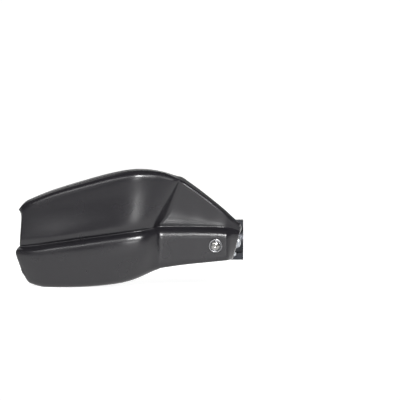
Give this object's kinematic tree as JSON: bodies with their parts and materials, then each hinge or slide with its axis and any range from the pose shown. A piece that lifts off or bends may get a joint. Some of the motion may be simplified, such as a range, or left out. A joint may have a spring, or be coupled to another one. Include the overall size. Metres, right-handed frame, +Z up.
{
  "type": "motorcycle hand guard",
  "caption": "Right-hand motorcycle hand guard: moulded wraparound shell on a bent steel strap, with a handlebar clamp at the inner end and an expanding plug for the bar end.",
  "frame": {"origin": "centre of the handlebar clamp's bore, on the handlebar's axis", "axes": "+X along the handlebar towards the middle of the motorcycle, -Y to the front, +Z up"},
  "size_m": [0.2756, 0.1207, 0.1426],
  "materials": {
    "moulded_shell": "satin, finely grained moulding",
    "coated_steel": "satin powder coat",
    "stainless_screw": "polished",
    "turned_washer": "turned",
    "rubber": "matt",
    "zinc_steel": "zinc plated",
    "insert_brass": "machined",
    "anodised_clamp": "satin anodised",
    "coated_weight": "satin powder coat"
  },
  "bodies": {
    "root": {"shell": "moulded_shell", "support_strap": "coated_steel", "front_screw": "stainless_screw", "cup_washer": "turned_washer", "front_bush": "rubber", "front_nut": "zinc_steel", "outer_shell_screw": "zinc_steel", "outer_shell_washer": "zinc_steel", "outer_isolator": "rubber", "outer_insert": "insert_brass", "inner_shell_screw": "zinc_steel", "inner_shell_washer": "zinc_steel", "inner_isolator": "rubber", "inner_insert": "insert_brass", "clamp_body": "anodised_clamp", "clamp_cap": "anodised_clamp", "upper_clamp_screw": "zinc_steel", "lower_clamp_screw": "zinc_steel", "clamp_bolt": "zinc_steel", "clamp_bolt_washer": "zinc_steel", "clamp_spring_washer": "zinc_steel", "clamp_locknut": "zinc_steel", "bar_end_bolt": "zinc_steel", "bar_end_washer": "zinc_steel", "bar_end_weight": "coated_weight", "expander_sleeve": "rubber", "expander_cone": "zinc_steel"}
  },
  "joints": []
}
